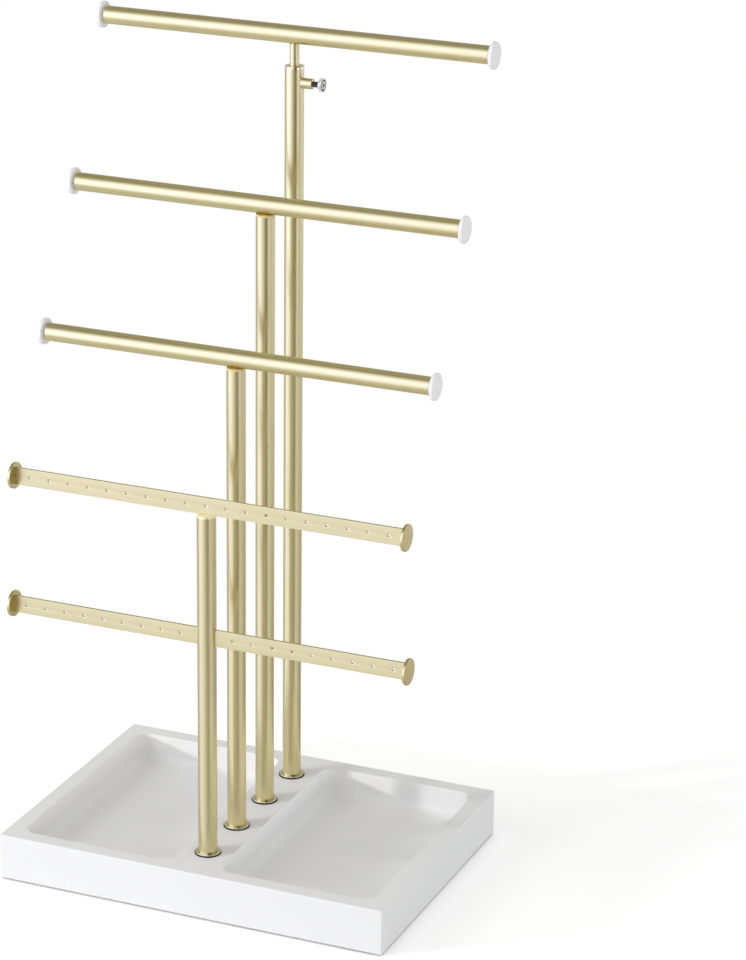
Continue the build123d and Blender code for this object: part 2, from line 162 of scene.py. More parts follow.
class Form:
    """A mesh on the bench, modelled in millimetres and finished in metres."""

    def __init__(self) -> None:
        """Starts with an empty mesh."""
        self.bm = bmesh.new()

    def weld(self) -> None:
        """Joins doubled vertices and turns the faces outwards."""
        bmesh.ops.remove_doubles(self.bm, verts=self.bm.verts[:], dist=WELD_DISTANCE)
        bmesh.ops.recalc_face_normals(self.bm, faces=self.bm.faces[:])

    def turn(
        self,
        outline: Outline,
        centre: Vector,
        axis: TurnAxis,
        closed: bool = True,
        steps: int = TURN_STEPS,
    ) -> None:
        """Turns an outline once round an axis.

        Args:
            outline: Points of radius and place along the axis.
            centre: A point on the axis.
            axis: The axis to turn about.
            closed: Whether the outline's ends join, as those of a ring do.
            steps: Faces round the turned piece.
        """
        verts = [self.bm.verts.new(axis.point(centre, r, along)) for r, along in outline]
        edges = [self.bm.edges.new(pair) for pair in zip(verts, verts[1:])]
        if closed:
            edges.append(self.bm.edges.new((verts[-1], verts[0])))
        bmesh.ops.spin(
            self.bm,
            geom=[*verts, *edges],
            cent=centre,
            axis=axis.direction,
            angle=FULL_TURN,
            steps=steps,
            use_merge=True,
        )
        self.weld()

    def round_edges(
        self, radius: float, picked: Callable[[Vector], bool], segments: int = 3
    ) -> None:
        """Rounds the sharp edges whose middle is picked.

        Args:
            radius: Radius of the rounding.
            picked: Says of an edge's middle whether the edge is rounded.
            segments: Faces across the rounding.
        """
        sharp = [
            e
            for e in self.bm.edges
            if e.is_manifold
            and e.calc_face_angle() > SHARP_EDGE
            and picked((e.verts[0].co + e.verts[1].co) / 2)
        ]
        bmesh.ops.bevel(
            self.bm,
            geom=sharp,
            offset=radius,
            offset_type="OFFSET",
            segments=segments,
            profile=0.5,
            affect="EDGES",
            material=-1,
            clamp_overlap=True,
        )

    def plate(
        self, length: float, width: float, corner: float, place: Vector, segments: int
    ) -> bmesh.types.BMFace:
        """Lays a flat face with rounded corners.

        Args:
            length: Size along X.
            width: Size along Y.
            corner: Radius of the corners.
            place: Middle of the face.
            segments: Edges round each corner.

        Returns:
            The face, which looks up.
        """
        size = Matrix.Diagonal((length, width, 1.0, 1.0))
        grid = bmesh.ops.create_grid(
            self.bm, x_segments=1, y_segments=1, size=0.5, matrix=Matrix.Translation(place) @ size
        )
        rounded = bmesh.ops.bevel(
            self.bm,
            geom=grid["verts"],
            offset=corner,
            offset_type="OFFSET",
            segments=segments,
            profile=0.5,
            affect="VERTICES",
            material=-1,
        )
        return rounded["verts"][0].link_faces[0]

    def follow(self, face: bmesh.types.BMFace, profile: Outline) -> None:
        """Insets a face step by step, so that its walls follow a profile.

        Args:
            face: The face that moves, which ends as the floor of the profile.
            profile: Points of inset from the outline and rise along the face's normal.
        """
        for (inset, rise), (next_inset, next_rise) in zip(profile, profile[1:]):
            bmesh.ops.inset_individual(
                self.bm,
                faces=[face],
                thickness=next_inset - inset,
                depth=next_rise - rise,
                use_even_offset=True,
            )

    def fill_level(self, level: float, axis: int, normal: Vector) -> None:
        """Fills the flat area between the open loops on one plane.

        Args:
            level: Place of the plane along its axis.
            axis: The axis that the plane is square to, 0, 1 or 2.
            normal: The side that the new faces look to.
        """
        loops = [
            e
            for e in self.bm.edges
            if e.is_boundary and all(abs(v.co[axis] - level) < WELD_DISTANCE for v in e.verts)
        ]
        bmesh.ops.triangle_fill(self.bm, use_beauty=True, edges=loops, normal=normal)

    def cut(self, side: int, level: float, faces: Iterable[bmesh.types.BMFace]) -> None:
        """Cuts faces along a plane that is square to an axis.

        Args:
            side: The axis, 0, 1 or 2.
            level: Place of the plane along the axis.
            faces: The faces that the plane may cut.
        """
        kept = list(faces)
        geom = dict.fromkeys(kept)
        geom.update(dict.fromkeys(e for f in kept for e in f.edges))
        geom.update(dict.fromkeys(v for f in kept for v in f.verts))
        bmesh.ops.bisect_plane(
            self.bm,
            geom=list(geom),
            dist=WELD_DISTANCE,
            plane_co=unit(side) * level,
            plane_no=unit(side),
        )

    def inside(self, low: Vector, high: Vector) -> list[bmesh.types.BMFace]:
        """The faces whose middle is in a box.

        Args:
            low: Lowest corner of the box.
            high: Highest corner of the box.

        Returns:
            The faces, in the mesh's order.
        """
        return [
            f
            for f in self.bm.faces
            if all(lo <= c <= hi for lo, c, hi in zip(low, f.calc_center_median(), high))
        ]

    def window(self, low: Vector, high: Vector, along: int, across: int) -> None:
        """Cuts a window through both skins of a tube's wall.

        Args:
            low: Lowest corner of the window's box.
            high: Highest corner of the window's box.
            along: Axis of the tube, 0, 1 or 2.
            across: The axis that is square to the tube and to the window.
        """
        for level in (low[along], high[along]):
            self.cut(along, level, self.bm.faces)
        for level in (low[across], high[across]):
            band_low, band_high = low.copy(), high.copy()
            band_low[across], band_high[across] = -math.inf, math.inf
            self.cut(across, level, self.inside(band_low, band_high))
        bmesh.ops.delete(self.bm, geom=self.inside(low, high), context="FACES")
        bmesh.ops.bridge_loops(self.bm, edges=[e for e in self.bm.edges if e.is_boundary])

    def pocket(self, low: Vector, high: Vector, sides: Sequence[int], sink: Vector) -> None:
        """Sinks a rectangular pocket into a flat face.

        Args:
            low: Lowest corner of a thin box round the pocket's mouth.
            high: Highest corner of that box.
            sides: The two axes in the flat face.
            sink: Movement from the mouth to the floor.
        """
        for side in sides:
            for level in (low[side], high[side]):
                flat_low, flat_high = low.copy(), high.copy()
                for free in sides:
                    flat_low[free], flat_high[free] = -math.inf, math.inf
                self.cut(side, level, self.inside(flat_low, flat_high))
        bmesh.ops.delete(self.bm, geom=self.inside(low, high), context="FACES")
        mouth = [e for e in self.bm.edges if e.is_boundary]
        walls = bmesh.ops.extrude_edge_only(self.bm, edges=mouth)["geom"]
        floor = [v for v in walls if isinstance(v, bmesh.types.BMVert)]
        bmesh.ops.translate(self.bm, vec=sink, verts=floor)
        bmesh.ops.holes_fill(self.bm, edges=[e for e in self.bm.edges if e.is_boundary])

    def finished(self, name: str) -> bpy.types.Object:
        """Makes the mesh an object with smooth curves and crisp edges.

        Args:
            name: Name of the piece.

        Returns:
            The object, at the origin, with its place in its mesh.
        """
        self.weld()
        bmesh.ops.scale(self.bm, vec=Vector((MM, MM, MM)), verts=self.bm.verts[:])
        mesh = bpy.data.meshes.new(name)
        self.bm.to_mesh(mesh)
        self.bm.free()
        mesh.shade_smooth()
        mesh.set_sharp_from_angle(angle=SHADE_SPLIT)
        piece = bpy.data.objects.new(name, mesh)
        bpy.context.scene.collection.objects.link(piece)
        weights = piece.modifiers.new("face_weights", "WEIGHTED_NORMAL")
        weights.keep_sharp = True
        return piece


class NodeBench:
    """A node tree under construction."""

    def __init__(self, tree: bpy.types.NodeTree) -> None:
        """Empties the tree.

        Args:
            tree: The tree of a material or world.
        """
        self.tree = tree
        tree.nodes.clear()

    def node(self, kind: str, **settings: object) -> bpy.types.Node:
        """Adds a node.

        Args:
            kind: Blender's name of the node's type.
            settings: Properties of the node, and values of its sockets where no property
                has the name.

        Returns:
            The new node.
        """
        made = self.tree.nodes.new(kind)
        for name, value in settings.items():
            if hasattr(made, name):
                setattr(made, name, value)
            else:
                made.inputs[name.replace("_", " ").title()].default_value = value
        return made

    def join(self, source: Socket, target: Socket) -> None:
        """Links two sockets."""
        self.tree.links.new(source, target)

    def noise(self, stretch: Colour, scale: float, detail: float) -> Socket:
        """Adds a noise on the piece's own coordinates.

        Args:
            stretch: How much closer the pattern is along X, Y and Z.
            scale: Pattern repeats in a metre.
            detail: Octaves of finer noise.

        Returns:
            The noise's strength.
        """
        place = self.node("ShaderNodeTexCoord")
        mapped = self.node("ShaderNodeMapping", scale=stretch)
        noise = self.node("ShaderNodeTexNoise", scale=scale, detail=detail)
        self.join(place.outputs["Object"], mapped.inputs["Vector"])
        self.join(mapped.outputs["Vector"], noise.inputs["Vector"])
        return noise.outputs["Fac"]

    def ranged(
        self,
        source: Socket,
        limits: Sequence[float],
        results: Sequence[float] = (0.0, 1.0),
        smooth: bool = False,
    ) -> Socket:
        """Moves a value from one range to another and holds it at the ends.

        Args:
            source: The value.
            limits: The two ends of the value's own range.
            results: What these become.
            smooth: Whether the change eases in and out.

        Returns:
            The new value.
        """
        kind = "SMOOTHSTEP" if smooth else "LINEAR"
        moved = self.node("ShaderNodeMapRange", interpolation_type=kind)
        for name, value in zip(("From Min", "From Max", "To Min", "To Max"), (*limits, *results)):
            moved.inputs[name].default_value = value
        self.join(source, moved.inputs["Value"])
        return moved.outputs["Result"]

    def reckon(self, operation: str, first: Socket, second: Socket) -> Socket:
        """Works out one value from two.

        Args:
            operation: Blender's name of the sum.
            first: The first value.
            second: The second value.

        Returns:
            The result.
        """
        reckoned = self.node("ShaderNodeMath", operation=operation)
        self.join(first, reckoned.inputs[0])
        self.join(second, reckoned.inputs[1])
        return reckoned.outputs["Value"]

    def tint(self, share: Socket, first: Colour, second: Colour) -> Socket:
        """Mixes two colours.

        Args:
            share: Share of the second colour.
            first: The first colour.
            second: The second colour.

        Returns:
            The mixed colour.
        """
        mix = self.node("ShaderNodeMix", data_type="RGBA")
        colours = [s for s in mix.inputs if s.type == "RGBA"]
        colours[0].default_value = (*first, 1.0)
        colours[1].default_value = (*second, 1.0)
        self.join(share, mix.inputs["Factor"])
        return next(s for s in mix.outputs if s.type == "RGBA")

    def blend(self, share: Socket, first: Socket, second: Socket) -> Socket:
        """Mixes two shaders.

        Args:
            share: Share of the second shader.
            first: The first shader.
            second: The second shader.

        Returns:
            The mixed shader.
        """
        mix = self.node("ShaderNodeMixShader")
        self.join(share, mix.inputs["Fac"])
        self.join(first, mix.inputs[1])
        self.join(second, mix.inputs[2])
        return mix.outputs["Shader"]

    def bump(self, source: Socket, strength: float, height: float) -> Socket:
        """Raises a noise as fine relief.

        Args:
            source: The noise's strength.
            strength: Share of the relief that shows.
            height: Height of the relief in millimetres.

        Returns:
            The bumped normal.
        """
        relief = self.node("ShaderNodeBump")
        relief.inputs["Strength"].default_value = strength
        relief.inputs["Distance"].default_value = height * MM
        self.join(source, relief.inputs["Height"])
        return relief.outputs["Normal"]


@dataclass(frozen=True)
class SurfaceFinish:
    """A finish with a fine grain, a broad change of tone and a range of gloss.

    Attributes:
        name: Name of the material.
        colour: Main colour.
        second_colour: Colour of the slightly different patches.
        metallic: 1 for bare or plated metal, 0 otherwise.
        gloss: Lowest and highest roughness.
        grain_stretch: How much closer the grain is along X, Y and Z.
        grain_scale: Grains in a metre.
        patch_scale: Broad patches in a metre.
        relief: Height of the grain in millimetres.
        relief_share: Share of the grain's relief that shows.
        sheen: Strength of the mirror light on a finish that isn't metal.
    """

    name: str
    colour: Colour
    second_colour: Colour
    metallic: float
    gloss: tuple[float, float]
    grain_stretch: Colour = (1.0, 1.0, 1.0)
    grain_scale: float = 1500.0
    patch_scale: float = 25.0
    relief: float = 0.02
    relief_share: float = 0.15
    sheen: float = 0.5

    def material(self) -> bpy.types.Material:
        """Makes the material, or finds it where it is made already.

        Returns:
            The material.
        """
        found = bpy.data.materials.get(self.name)
        if found is not None:
            return found
        made = bpy.data.materials.new(self.name)
        made.use_nodes = True
        bench = NodeBench(made.node_tree)
        grain = bench.noise(self.grain_stretch, self.grain_scale, 3.0)
        patches = bench.noise((1.0, 1.0, 1.0), self.patch_scale, 2.0)
        shader = bench.node("ShaderNodeBsdfPrincipled")
        shader.inputs["Metallic"].default_value = self.metallic
        shader.inputs["Specular IOR Level"].default_value = self.sheen
        patch_share = bench.ranged(patches, NOISE_MIDDLE)
        colour = bench.tint(patch_share, self.colour, self.second_colour)
        relief = bench.bump(grain, self.relief_share, self.relief)
        bench.join(colour, shader.inputs["Base Color"])
        bench.join(bench.ranged(grain, NOISE_MIDDLE, self.gloss), shader.inputs["Roughness"])
        bench.join(relief, shader.inputs["Normal"])
        output = bench.node("ShaderNodeOutputMaterial")
        bench.join(shader.outputs["BSDF"], output.inputs["Surface"])
        return made


GOLD_COLOUR = (0.781, 0.68, 0.371)
GOLD_SECOND = (0.761, 0.66, 0.351)
STRIP_COLOUR = (0.763, 0.662, 0.358)
STRIP_SECOND = (0.743, 0.642, 0.342)

ALONG_X = (0.05, 1.0, 1.0)
ALONG_Z = (1.0, 1.0, 0.05)

POST_GOLD = SurfaceFinish(
    "satin_gold_post", GOLD_COLOUR, GOLD_SECOND, 1.0, (0.27, 0.33), ALONG_Z, grain_scale=1800.0
)
BAR_GOLD = SurfaceFinish(
    "satin_gold_bar", GOLD_COLOUR, GOLD_SECOND, 1.0, (0.27, 0.33), ALONG_X, grain_scale=1800.0
)
STRIP_GOLD = SurfaceFinish(
    "satin_gold_strip", STRIP_COLOUR, STRIP_SECOND, 1.0, (0.3, 0.36), ALONG_X, grain_scale=1800.0
)
TURNED_GOLD = SurfaceFinish(
    "satin_gold_turned", GOLD_COLOUR, GOLD_SECOND, 1.0, (0.24, 0.3), grain_scale=2200.0
)
# Collars and guide bush: polished smoother than the posts, and given a paler gold than theirs,
# which paints in the bright highlight round their rounded edges.
COLLAR_GOLD_PAINTED_HIGHLIGHT = SurfaceFinish(
    "polished_gold_collar", (0.84, 0.77, 0.53), (0.82, 0.75, 0.5), 1.0, (0.12, 0.18),
    grain_scale=2200.0,
)
# Painted reflection: the plugs take a near-matt orange gold instead of the posts' metal, so that
# their tops under the bars show the warm glow that the gold parts bounce into the slit.
PLUG_PAINTED_GLOW = SurfaceFinish(
    "gold_plug_painted_glow", (0.8, 0.64, 0.28), (0.78, 0.61, 0.25), 0.1, (0.42, 0.5),
    grain_scale=2200.0,
)
# Painted light: a paler, brighter copy of the plugs' gold for the front plug, whose top lies in the
# upper strip's shade, so that it looks lit.
FRONT_PLUG_PAINTED_LIGHT = SurfaceFinish(
    "gold_plug_painted_light", (0.99, 0.93, 0.6), (0.97, 0.9, 0.57), 0.6, (0.3, 0.36),
    grain_scale=2200.0,
)
# Painted shade: the studs are zinc plated steel, given a dark brownish orange so that the bit of
# stud seen in the slit under each bar looks like the slit's warm shadow.
STUD_ZINC_PAINTED_SHADE = SurfaceFinish(
    "stud_zinc_painted_shade", (0.5, 0.3, 0.04), (0.45, 0.26, 0.03), 0.2, (0.4, 0.5), grain_scale=2200.0
)
DISC_GOLD = SurfaceFinish(
    "satin_gold_disc", (0.73, 0.603, 0.28), (0.71, 0.583, 0.264), 1.0, (0.24, 0.3),
    grain_scale=2200.0,
)
LACQUER = SurfaceFinish(
    "lacquered_board", (0.886, 0.886, 0.888), (0.874, 0.874, 0.876), 0.0, (0.45, 0.55),
    grain_scale=900.0, patch_scale=18.0, relief=0.03, relief_share=0.2,
)
PLASTIC = SurfaceFinish(
    "moulded_plastic", (0.9, 0.9, 0.905), (0.89, 0.89, 0.893), 0.0, (0.28, 0.36),
    grain_scale=2500.0, patch_scale=60.0, relief=0.01, relief_share=0.2, sheen=0.2,
)
CHROME = SurfaceFinish(
    "chrome", (0.76, 0.72, 0.62), (0.72, 0.68, 0.58), 1.0, (0.06, 0.12),
    grain_scale=1500.0, patch_scale=300.0, relief=0.005, relief_share=0.1,
)
STEEL = SurfaceFinish(
    "dark_zinc_steel", (0.16, 0.16, 0.165), (0.12, 0.12, 0.125), 1.0, (0.3, 0.42),
    grain_scale=2500.0, patch_scale=200.0, relief=0.01, relief_share=0.2,
)
SCREW_STEEL = SurfaceFinish(
    "black_screw_steel", (0.2, 0.2, 0.2), (0.15, 0.15, 0.15), 1.0, (0.1, 0.16),
    grain_scale=2500.0, patch_scale=200.0, relief=0.005, relief_share=0.1,
)
# Rubber of the pads, and also of the gaskets, where its near-black paints the dark shadow line
# under each collar.
RUBBER = SurfaceFinish(
    "rubber_and_painted_shade", (0.006, 0.006, 0.006), (0.012, 0.012, 0.012), 0.0, (0.7, 0.85),
    grain_scale=3000.0, patch_scale=120.0, relief=0.03, relief_share=0.4, sheen=0.1,
)
NYLON = SurfaceFinish(
    "turned_nylon", (0.74, 0.72, 0.65), (0.71, 0.69, 0.61), 0.0, (0.45, 0.55),
    grain_scale=2000.0, patch_scale=150.0, relief=0.02, relief_share=0.25,
)


def install(
    piece: bpy.types.Object, finish: SurfaceFinish, body: Body, slot: Slot, *nodes: str
) -> None:
    """Dresses a new piece and puts it in the place of its solids.

    Args:
        piece: The new piece.
        finish: Its finish.
        body: The body that it moves with.
        slot: The record's slot that its finish belongs to; not used.
        nodes: The solids that it stands for.
    """
    piece.data.materials.append(finish.material())
    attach(piece, body.value)
    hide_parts(*nodes)
    LOG.info("%s stands for %s and rides on %s", piece.name, ", ".join(nodes), body.value)


def dress_solid(node: str, finish: SurfaceFinish) -> None:
    """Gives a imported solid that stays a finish.

    Args:
        node: Name of the solid.
        finish: Its finish.
    """
    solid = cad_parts[node]
    if not solid.material_slots:
        solid.data.materials.append(None)
    for place in solid.material_slots:
        place.material = finish.material()
    LOG.info("%s keeps its solid, in %s", node, solid.material_slots[0].material.name)


POST_NAMES = ("back", "second", "third", "front")
POST_PITCH = 35.73333
POST_ROWS = {name: POST_PITCH * (1.5 - i) for i, name in enumerate(POST_NAMES)}
BASE_TOP = 25.7
CLAMP_HEIGHT = 414.5
CLAMP_HOLE = 1.7
LOWER_STRIP_HEIGHT = 147.6
STRIP_SLOT = (0.85, 4.65)
HOLE_PITCH = 11.13
NEAREST_HOLE = 14.6
HOLES_A_SIDE = 9
WALL_REACH = (0.5, 6.0)


def wall_window(side: Side, height: float, half_width: float, half_height: float) -> Window:
    """Box of a window through one side of a post's wall.

    Args:
        side: The side of the post.
        height: Middle of the window above the table.
        half_width: Half the window's size along Y.
        half_height: Half the window's size along Z.

    Returns:
        Lowest and highest corner of the box, beside the post's axis.
    """
    near, far = sorted(side.value * reach for reach in WALL_REACH)
    half = Vector((0, half_width, half_height))
    return Vector((near, 0, height)) - half, Vector((far, 0, height)) + half


@dataclass
class Base:
    """The lacquered board with its two trays, and the pads under it."""

    length: float = 219.0
    width: float = 159.0
    foot: float = 1.0
    edge_round: float = 0.4
    edge_steps: int = 4
    tray_centre: float = 57.0
    tray_length: float = 87.0
    tray_width: float = 141.0
    tray_depth: float = 16.0
    tray_draft: float = math.radians(2.0)
    corner_radius: float = 8.0
    corner_steps: int = 14
    floor_radius: float = 6.0
    floor_steps: int = 12
    lip_round: float = 0.6
    lip_steps: int = 5
    socket_radius: float = 5.05
    socket_foot: float = 19.7
    screw_hole_radius: float = 2.2
    recess_radius: float = 5.5
    recess_roof: float = 10.0
    pad_places: tuple[float, float] = (91.5, 61.5)
    pad_radius: float = 7.0
    pad_recess_radius: float = 7.2
    pad_sunk: float = 0.6
    pad_round: float = 0.3

    def tray_profile(self) -> list[tuple[float, float]]:
        """Works out the section of a tray's wall, from the rim to the floor.

        Returns:
            Points of inset from the tray's outline and rise above the rim.
        """
        lean = self.tray_draft
        steep = math.pi / 2 - lean
        lip_start = -self.lip_round * math.tan(steep / 2)
        lip = [
            (lip_start + self.lip_round * math.sin(a), self.lip_round * (math.cos(a) - 1.0))
            for a in arc(0.0, steep, self.lip_steps)
        ]
        middle_depth = self.tray_depth - self.floor_radius
        middle_inset = middle_depth * math.tan(lean) + self.floor_radius / math.cos(lean)
        radius = self.floor_radius
        floor = [
            (middle_inset - radius * math.cos(a), -middle_depth - radius * math.sin(a))
            for a in arc(lean, steep, self.floor_steps)
        ]
        return lip + floor

    def build_board(self) -> bpy.types.Object:
        """Models the board: shell, trays, post sockets and recesses below.

        Returns:
            The board.
        """
        form = Form()
        height = BASE_TOP - self.foot
        edge = self.edge_round
        place = Vector((0, 0, self.foot))
        shell = form.plate(self.length, self.width, edge, place, self.edge_steps)
        rounding = [
            (edge * (1.0 - math.cos(a)), height - edge * (1.0 - math.sin(a)))
            for a in arc(0.0, math.pi / 2, self.edge_steps)
        ]
        form.follow(shell, [(0.0, 0.0), *rounding])
        bmesh.ops.delete(form.bm, geom=[shell], context="FACES_ONLY")
        profile = self.tray_profile()
        reach = -2.0 * profile[0][0]
        for centre in (-self.tray_centre, self.tray_centre):
            tray = form.plate(
                self.tray_length + reach,
                self.tray_width + reach,
                self.corner_radius + reach / 2,
                Vector((centre, 0, BASE_TOP)),
                self.corner_steps,
            )
            form.follow(tray, profile)
        for y in POST_ROWS.values():
            bore = [
                (self.socket_radius, BASE_TOP),
                (self.socket_radius, self.socket_foot),
                (self.screw_hole_radius, self.socket_foot),
                (self.screw_hole_radius, self.recess_roof),
                (self.recess_radius, self.recess_roof),
                (self.recess_radius, self.foot),
            ]
            form.turn(bore, Vector((0, y, 0)), TurnAxis.Z, closed=False)
        roof = self.foot + self.pad_sunk
        recess_edge = self.pad_recess_radius
        recess = [(recess_edge, self.foot), (recess_edge, roof), (0.0, roof)]
        for centre in self.pad_centres():
            form.turn(recess, centre, TurnAxis.Z, closed=False)
        form.fill_level(BASE_TOP, 2, unit(2))
        form.fill_level(self.foot, 2, -unit(2))
        return form.finished("lacquered_board")

    def pad_centres(self) -> list[Vector]:
        """The middles of the four pads, on the table."""
        x, y = self.pad_places
        return [Vector((sx * x, sy * y, 0)) for sx in (-1, 1) for sy in (-1, 1)]

    def build_pads(self) -> bpy.types.Object:
        """Turns the four non-slip pads.

        Returns:
            The pads.
        """
        form = Form()
        outline = ring_outline(0.0, self.pad_radius, 0.0, self.foot + self.pad_sunk)
        for centre in self.pad_centres():
            form.turn(outline, centre, TurnAxis.Z, closed=False)
        form.round_edges(self.pad_round, lambda middle: middle.z < self.foot)
        return form.finished("table_pads")

    def dress(self) -> None:
        """Builds the board and pads and installs them."""
        install(self.build_board(), LACQUER, Body.STAND, Slot.LACQUER, "base_tray")
        install(self.build_pads(), RUBBER, Body.STAND, Slot.RUBBER, "foot_pads")
        dress_solid("base_screws", STEEL)
        dress_solid("base_washers", STEEL)


@dataclass
class Post:
    """A gold tube with its collar and gasket, standing in the base."""

    name: str
    tube_top: float
    radius: float = 5.0
    wall: float = 1.0
    foot: float = 19.7
    end_round: float = 0.15
    collar_radius: float = 6.7
    collar_bore: float = 5.05
    collar_foot: float = 26.3
    collar_thickness: float = 0.7
    collar_round: float = 0.35
    windows: list[Window] = field(default_factory=list)

    @property
    def centre(self) -> Vector:
        """The foot of the post's axis."""
        return Vector((0, POST_ROWS[self.name], 0))

    def build_tube(self) -> bpy.types.Object:
        """Turns the tube and cuts its windows.

        Returns:
            The tube.
        """
        form = Form()
        bore = self.radius - self.wall
        outline = ring_outline(bore, self.radius, self.foot, self.tube_top)
        form.turn(outline, self.centre, TurnAxis.Z)
        form.round_edges(self.end_round, lambda middle: True, segments=2)
        for low, high in self.windows:
            form.window(low + self.centre, high + self.centre, along=2, across=1)
        return form.finished(f"{self.name}_post")

    def build_collar(self) -> bpy.types.Object:
        """Turns the collar at the foot of the tube.

        Returns:
            The collar.
        """
        form = Form()
        top = self.collar_foot + self.collar_thickness
        outline = ring_outline(self.collar_bore, self.collar_radius, self.collar_foot, top)
        form.turn(outline, self.centre, TurnAxis.Z)
        form.round_edges(
            self.collar_round,
            lambda middle: middle.z > self.collar_foot + self.collar_round
            and TurnAxis.Z.radius_of(self.centre, middle) > self.radius + self.wall,
        )
        return form.finished(f"{self.name}_collar")

    def dress(self) -> None:
        """Builds the tube and collar and installs them."""
        install(self.build_tube(), POST_GOLD, Body.STAND, Slot.GOLD, f"{self.name}_post_tube")
        install(self.build_collar(), COLLAR_GOLD_PAINTED_HIGHLIGHT, Body.STAND, Slot.GOLD, f"{self.name}_post_collar")
        dress_solid(f"{self.name}_post_foot_plug", STEEL)


@dataclass
class Gaskets:
    """The near-black gaskets between the collars and the lacquer, a little wider than the collars;
    their blackness paints the dark shadow line under each collar.
    """

    radius: float = 7.0
    bore: float = 5.05
    thickness: float = 0.6

    def dress(self) -> None:
        """Builds the four gaskets as one piece and installs it."""
        form = Form()
        outline = ring_outline(self.bore, self.radius, BASE_TOP, BASE_TOP + self.thickness)
        for y in POST_ROWS.values():
            form.turn(outline, Vector((0, y, 0)), TurnAxis.Z)
        install(form.finished("gaskets"), RUBBER, Body.STAND, Slot.RUBBER, "collar_gaskets")


@dataclass
class TopPlug:
    """The flush plug in the top of a post, bored for a stud or slotted for a strip."""

    name: str
    top: float
    radius: float = 5.0
    head: float = 1.0
    stem_radius: float = 3.98
    stem: float = 9.0
    head_round: float = 0.3
    bore: float = 2.05
    slot_size: tuple[float, float, float] | None = None
    # The default finish paints the reflected warm glow into the plug's colour.
    finish: SurfaceFinish = PLUG_PAINTED_GLOW

    def build(self) -> bpy.types.Object:
        """Turns the plug and sinks its slot where it has one.

        Returns:
            The plug.
        """
        form = Form()
        centre = Vector((0, POST_ROWS[self.name], 0))
        shoulder = self.top - self.head
        foot = shoulder - self.stem
        inner = 0.0 if self.slot_size else self.bore
        outline = [
            (inner, self.top),
            (self.radius, self.top),
            (self.radius, shoulder),
            (self.stem_radius, shoulder),
            (self.stem_radius, foot),
            (inner, foot),
        ]
        form.turn(outline, centre, TurnAxis.Z, closed=not self.slot_size)
        form.round_edges(
            self.head_round,
            lambda middle: middle.z > self.top - self.head_round
            and TurnAxis.Z.radius_of(centre, middle) > self.stem_radius,
        )
        if self.slot_size:
            length, width, depth = self.slot_size
            half = Vector((length / 2, width / 2, self.head_round / 2))
            mouth = centre + Vector((0, 0, self.top))
            form.pocket(mouth - half, mouth + half, (0, 1), Vector((0, 0, -depth)))
        return form.finished(f"{self.name}_plug")

    def dress(self) -> None:
        """Builds the plug and installs it."""
        install(self.build(), self.finish, Body.STAND, Slot.GOLD, f"{self.name}_post_top_plug")


@dataclass
class RoundBar:
    """A gold tube with a white cap in each end."""

    name: str
    row: str
    height: float
    body: Body
    radius: float = 4.75
    wall: float = 1.0
    half_length: float = 107.2
    end_round: float = 0.15
    stud_hole: float = 2.2
    cap_gap: float = 0.8
    cap_radius: float = 7.0
    cap_flange: float = 2.3
    cap_round: float = 0.5
    stem_radius: float = 3.73
    stem_bore: float = 2.33
    stem: float = 9.0

    @property
    def centre(self) -> Vector:
        """The middle of the bar's axis."""
        return Vector((0, POST_ROWS[self.row], self.height))

    def build_tube(self) -> bpy.types.Object:
        """Turns the tube and cuts the stud's hole in its underside.

        Returns:
            The tube.
        """
        form = Form()
        end = self.half_length
        outline = ring_outline(self.radius - self.wall, self.radius, -end, end)
        form.turn(outline, self.centre, TurnAxis.X)
        form.round_edges(self.end_round, lambda middle: True, segments=2)
        low = self.centre - Vector((self.stud_hole, self.stud_hole, self.radius + self.wall))
        high = self.centre + Vector((self.stud_hole, self.stud_hole, 0))
        form.window(low, high, along=0, across=1)
        return form.finished(f"{self.name}_bar")

    def build_cap(self, side: Side) -> bpy.types.Object:
        """Turns an end cap with its stem.

        Args:
            side: The end that the cap closes.

        Returns:
            The cap.
        """
        form = Form()
        inner = self.half_length + self.cap_gap
        outer, foot = inner + self.cap_flange, inner - self.stem
        outline = [
            (0.0, outer),
            (self.cap_radius, outer),
            (self.cap_radius, inner),
            (self.stem_radius, inner),
            (self.stem_radius, foot),
            (self.stem_bore, foot),
            (self.stem_bore, inner),
            (0.0, inner),
        ]
        placed = [(r, side.value * along) for r, along in outline]
        form.turn(placed, self.centre, TurnAxis.X, closed=False)
        clear = self.radius + self.wall
        form.round_edges(
            self.cap_round,
            lambda middle: TurnAxis.X.radius_of(self.centre, middle) > clear,
            segments=4,
        )
        return form.finished(f"{self.name}_{side.word}_end_cap")

    def dress(self) -> None:
        """Builds the tube and caps and installs them."""
        install(self.build_tube(), BAR_GOLD, self.body, Slot.GOLD, f"{self.name}_bar_tube")
        for side in Side:
            cap = f"{self.name}_bar_{side.word}_cap"
            install(self.build_cap(side), PLASTIC, self.body, Slot.PLASTIC, cap)
        dress_solid(f"{self.name}_bar_nut", STEEL)


